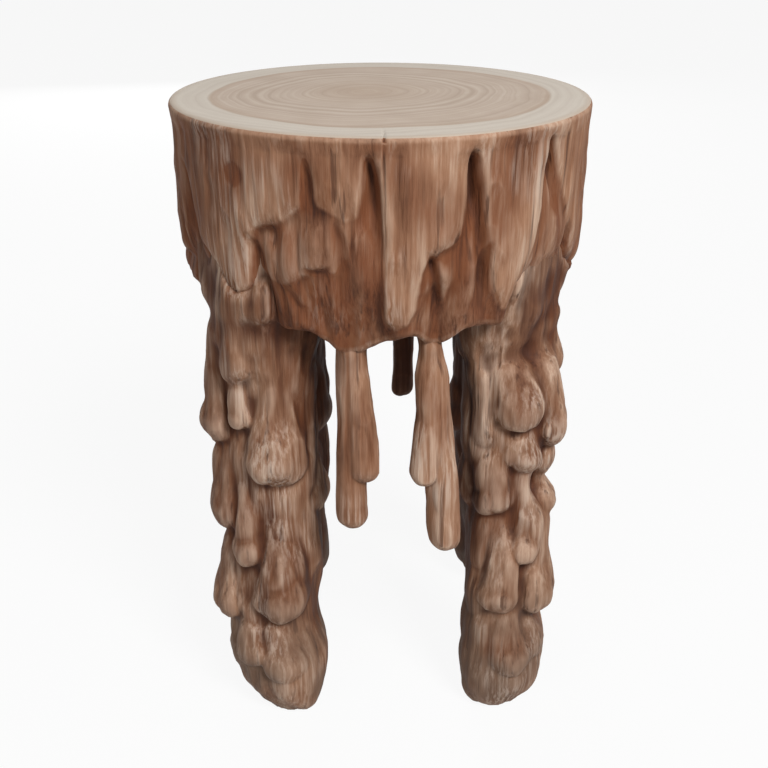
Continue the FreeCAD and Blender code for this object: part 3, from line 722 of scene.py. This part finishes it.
def even_mesh(piece, voxel):
    """Melt a piece into one skin of small even faces."""
    remesh = piece.modifiers.new("even_mesh", "REMESH")
    remesh.mode = "VOXEL"
    remesh.voxel_size = voxel
    view = bpy.context.evaluated_depsgraph_get()
    mesh = bpy.data.meshes.new_from_object(piece.evaluated_get(view))
    piece.modifiers.clear()
    piece.data = mesh


def rough_copy(node_name, voxel):
    """A copy of a solid to carve, with an even mesh."""
    piece = bpy.data.objects.new(node_name + "_carved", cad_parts[node_name].data.copy())
    bpy.context.scene.collection.objects.link(piece)
    even_mesh(piece, voxel)
    return piece


def join_mesh(mesh, points, faces):
    """Add loose points and faces to a mesh."""
    added = bpy.data.meshes.new("added")
    added.from_pydata(points.tolist(), [], faces)
    both = bmesh.new()
    both.from_mesh(mesh)
    both.from_mesh(added)
    both.to_mesh(mesh)
    both.free()


def carve(mesh, low, high, free, rounding, deepen, sway, lumpy, swell, seed):
    """Round the drops, deepen the creases between them and work them with the gouge, inside a box.

    Returns how hollow each spot is and how far it stands out, in metres.
    """
    points = positions(mesh)
    points = points + (smoothed(mesh, points, rounding) - points) * free[:, None]
    store(mesh, points)
    dip = relief_of(mesh, 110)
    dip = np.minimum(dip - np.median(dip), 0)
    points = points + facing(mesh) * (deepen * dip * free)[:, None]
    drift = np.stack([noise(points / 0.045, seed + axis) for axis in (20, 21, 22)], axis=1)
    points = points + drift * (sway, sway, 1.4 * sway) * free[:, None]
    store(mesh, points)
    hollow = -relief_of(mesh, 60)
    lobes = np.abs(noise(points / (0.015, 0.015, 0.036), seed + 9)) - 0.3
    uneven = gouged(points, seed) + lobes * lumpy + swell
    points = points + facing(mesh) * (uneven * free)[:, None]
    store(mesh, np.clip(points, low, high))
    return hollow, relief_of(mesh, 16)


def mark_shade_and_wear(mesh, hollow, relief, seed):
    """Mark stain with painted shade in hollows, painted shade on inner sides and towards the floor, a
    darker top, and wear with painted sheen on ridges.
    """
    points = positions(mesh)
    outward = points * (1, 1, 0) / np.hypot(points[:, 0], points[:, 1])[:, None]
    # Sides turned in towards the middle of the stool get painted shade.
    turned_in = np.clip((0.25 - (facing(mesh) * outward).sum(axis=1)) / 0.75, 0, 1)
    # The top of the leg under the drum is darker and redder.
    at_joint = np.clip((points[:, 2] - 0.290) / 0.05, 0, 1)
    mark(mesh, "hollow", np.clip(hollow / 0.0040 + 0.8 * turned_in + 0.35 * at_joint, 0, 1))
    mark(mesh, "relief", np.clip(relief / 0.0014 - 0.8 * turned_in ** 1.5 - 0.50 * at_joint, -1, 1))
    # Painted shade darkens the legs towards the floor.
    near_floor = np.clip((0.13 - points[:, 2]) / 0.08, 0, 1)
    mark(mesh, "shade_near_floor", near_floor * np.clip(0.6 + noise(points / 0.022, seed + 30), 0, 1))


leg_pale = (0.47, 0.335, 0.250)
leg_tan = (0.238, 0.127, 0.075)
leg_brown = (0.142, 0.056, 0.026)
leg_red = (0.108, 0.035, 0.013)
leg_wood = carved_wood("leg_wood", leg_pale, leg_tan, leg_brown, leg_red, deep_brown)
leg_voxel = 0.0018
room = Vector((0.012, 0.012, 0))

# How far the legs are drawn in below the drum and notched on the right of the stool, and the
# share by which the back feet are slimmer.
right_waist = 0.010
left_waist = 0.001
right_notch = 0.011
slimmer_feet = {"leg_back_left": 0.11, "leg_back_right": 0.25}
for number, leg_name in enumerate(leg_names):
    leg = rough_copy(leg_name, leg_voxel)
    low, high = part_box(leg_name)
    seed = 40 + 7 * number
    points = positions(leg.data)
    down = underside - points[:, 2]
    reach = np.hypot(points[:, 0], points[:, 1])
    hand = np.sign(points[:, 0].mean())
    waist = right_waist if hand > 0 else left_waist
    on_outside = np.clip((reach - 0.112) / 0.016, 0, 1)
    on_right = np.clip((points[:, 0] - 0.105) / 0.018, 0, 1)
    pinch = waist * bump(down, 0.031, 0.020) * on_outside
    pinch = pinch + right_notch * bump(points[:, 2], 0.198, 0.016) * on_right
    points[:, :2] = points[:, :2] * (1 - pinch / reach)[:, None]
    if leg_name in slimmer_feet:
        slimmer = slimmer_feet[leg_name] * np.clip((0.15 - points[:, 2]) / 0.09, 0, 1)
        points[:, 1] += (points[:, 1].max() - points[:, 1]) * slimmer
        points[:, 0] += hand * ((points[:, 0] * hand).max() - points[:, 0] * hand) * slimmer * 0.6
    store(leg.data, points)
    join_mesh(leg.data, *shoulder_form(leg.data))
    even_mesh(leg, leg_voxel)
    points = positions(leg.data)
    foot = 0.0035 * bump(points[:, 2], 0.030, 0.030)
    free = np.clip(points[:, 2] / 0.005, 0, 1)
    deepen = 1 - np.clip((points[:, 2] - 0.295) / 0.030, 0, 1)
    hollow, relief = carve(
        leg.data, low - room, high + room, free,
        rounding=6, deepen=deepen, sway=0.0040, lumpy=0.0032, swell=0.0010 + foot, seed=seed,
    )
    points = positions(leg.data)
    reach = np.hypot(points[:, 0], points[:, 1])
    widest = np.where(points[:, 2] > 0.300, seat_radius - 0.0004, 1)
    points[:, :2] *= np.minimum(1, widest / reach)[:, None]
    store(leg.data, points)
    leg.data.shade_smooth()
    leg.data.materials.clear()
    mark_shade_and_wear(leg.data, hollow, relief, seed)
    leg.data.materials.append(leg_wood)
    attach(leg, "root")
    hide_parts(leg_name)


# Hanging drops
# Three free drops carved from offcuts of the same wood, each dowelled by its flared head to
# the drum's underside so that it hangs in the opening between two legs.

hanging_wood = carved_wood("hanging_drop_wood", leg_pale, tan, warm_brown, red_brown, deep_brown)

# For each drop, the share of its width that is left at the neck, how far down the neck is, and
# how much the drop is swollen.
hanging = (
    ("drop_front_left", 0.95, 0.018, 0.0018),
    ("drop_front_right", 0.70, 0.018, 0.0018),
    ("drop_back", 0.66, 0.034, -0.0006),
)
drop_voxel = 0.0011
head_tuck = 0.007
for number, (drop_name, neck, neck_depth, swell) in enumerate(hanging):
    drop = rough_copy(drop_name, drop_voxel)
    low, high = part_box(drop_name)
    points = positions(drop.data)
    down = underside - points[:, 2]
    axis = points[np.abs(down - 0.002) < 0.002, :2].mean(axis=0)
    pinch = (1 - neck) * bump(down, neck_depth, 0.016)
    points[:, :2] = axis + (points[:, :2] - axis) * (1 - pinch)[:, None]
    tucked = head_tuck * np.clip(1 - down / 0.016, 0, 1)
    points[:, :2] *= (1 - tucked / np.hypot(points[:, 0], points[:, 1]))[:, None]
    store(drop.data, points)
    seed = 80 + 7 * number
    free = np.clip(down / 0.010, 0, 1)
    hollow, relief = carve(
        drop.data, low, high, free,
        rounding=10, deepen=0.5, sway=0.0020, lumpy=0.0016, swell=swell, seed=seed,
    )
    drop.data.shade_smooth()
    drop.data.materials.clear()
    mark_shade_and_wear(drop.data, hollow, relief, seed)
    drop.data.materials.append(hanging_wood)
    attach(drop, "root")
    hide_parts(drop_name)


# Wedges and dowels
# Plain sawn pieces of paler wood inside the joints: a wedge in the kerf of each leg tenon and
# a dowel in the head of each hanging drop. None of them shows on the finished stool.

sawn_pale = (0.50, 0.40, 0.28)
sawn_tan = (0.44, 0.34, 0.23)
sawn_brown = (0.36, 0.26, 0.17)
sawn_red = (0.33, 0.23, 0.15)
sawn_deep = (0.22, 0.15, 0.10)
joint_wood = carved_wood("joint_wood", sawn_pale, sawn_tan, sawn_brown, sawn_red, sawn_deep)
for joint_name in ("leg_wedges", "drop_dowels"):
    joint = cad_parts[joint_name]
    joint.data.materials.clear()
    joint.data.materials.append(joint_wood)


# Floor, light and camera
# A pale studio floor that runs out past the picture, a broad soft light from the front right,
# a weaker one from the left, a low one behind, and the eye a little above the seat.


def background_rays(tree):
    """1 for rays that show the background, straight from the eye, mirrored or let through, else 0."""
    rays = tree.nodes.new("ShaderNodeLightPath")
    shown = rays.outputs["Is Camera Ray"]
    for kind in ("Is Glossy Ray", "Is Transmission Ray"):
        either = tree.nodes.new("ShaderNodeMath")
        either.operation = "MAXIMUM"
        tree.links.new(shown, either.inputs[0])
        tree.links.new(rays.outputs[kind], either.inputs[1])
        shown = either.outputs[0]
    return shown


floor_grey = (0.55, 0.55, 0.55, 1)
floor_white = 0.92
bpy.ops.mesh.primitive_plane_add(size=60)
floor = bpy.context.object
floor.name = "floor"
floor.location.z = -0.0002
floor_paint = bpy.data.materials.new("pale_floor")
floor_paint.use_nodes = True
nodes = floor_paint.node_tree.nodes
links = floor_paint.node_tree.links
paint = nodes["Principled BSDF"]
paint.inputs["Base Color"].default_value = floor_grey
paint.inputs["Roughness"].default_value = 0.9
glow = nodes.new("ShaderNodeEmission")
glow.inputs["Strength"].default_value = 1.0
seen = nodes.new("ShaderNodeMath")
seen.operation = "MULTIPLY"
links.new(background_rays(floor_paint.node_tree), seen.inputs[0])
seen.inputs[1].default_value = floor_white
both = nodes.new("ShaderNodeMixShader")
links.new(seen.outputs[0], both.inputs["Fac"])
links.new(paint.outputs["BSDF"], both.inputs[1])
links.new(glow.outputs["Emission"], both.inputs[2])
links.new(both.outputs["Shader"], nodes["Material Output"].inputs["Surface"])
floor.data.materials.append(floor_paint)

sky_white = 0.88
sky_light = 0.07
world = bpy.data.worlds.new("studio")
bpy.context.scene.world = world
world.use_nodes = True
nodes = world.node_tree.nodes
links = world.node_tree.links
nodes["Background"].inputs["Color"].default_value = (1, 1, 1, 1)
strength = nodes.new("ShaderNodeMath")
strength.operation = "MULTIPLY_ADD"
links.new(background_rays(world.node_tree), strength.inputs[0])
strength.inputs[1].default_value = sky_white
strength.inputs[2].default_value = sky_light
links.new(strength.outputs[0], nodes["Background"].inputs["Strength"])

# Each lamp's name, place, power in watts and width.
lamps = (
    ("key", (1.2, -1.9, 2.4), 118, 1.0),
    ("fill", (-1.7, -2.2, 1.8), 22, 1.4),
    ("back", (-0.5, 2.8, 1.0), 48, 1.6),
)
lit_spot = Vector((0, 0, 0.27))
for lamp_name, place, power, size in lamps:
    lamp = bpy.data.lights.new(lamp_name, "AREA")
    lamp.energy = power
    lamp.size = size
    lamp_object = bpy.data.objects.new(lamp_name, lamp)
    lamp_object.location = place
    lamp_object.rotation_euler = (lit_spot - Vector(place)).to_track_quat("-Z", "Y").to_euler()
    lamp_object.visible_glossy = lamp_name != "back"
    bpy.context.scene.collection.objects.link(lamp_object)

picture_width = 768
picture_shift = 3.7
eye = bpy.data.cameras.new("camera")
eye.sensor_width = 36
eye.lens = 49.219
eye.shift_x = picture_shift / picture_width
camera = bpy.data.objects.new("camera", eye)
camera.location = (0, -0.7698, 0.6067)
camera.rotation_euler = (math.radians(64.8), 0, 0)
bpy.context.scene.collection.objects.link(camera)
bpy.context.scene.camera = camera
bpy.context.scene.view_settings.view_transform = "Standard"
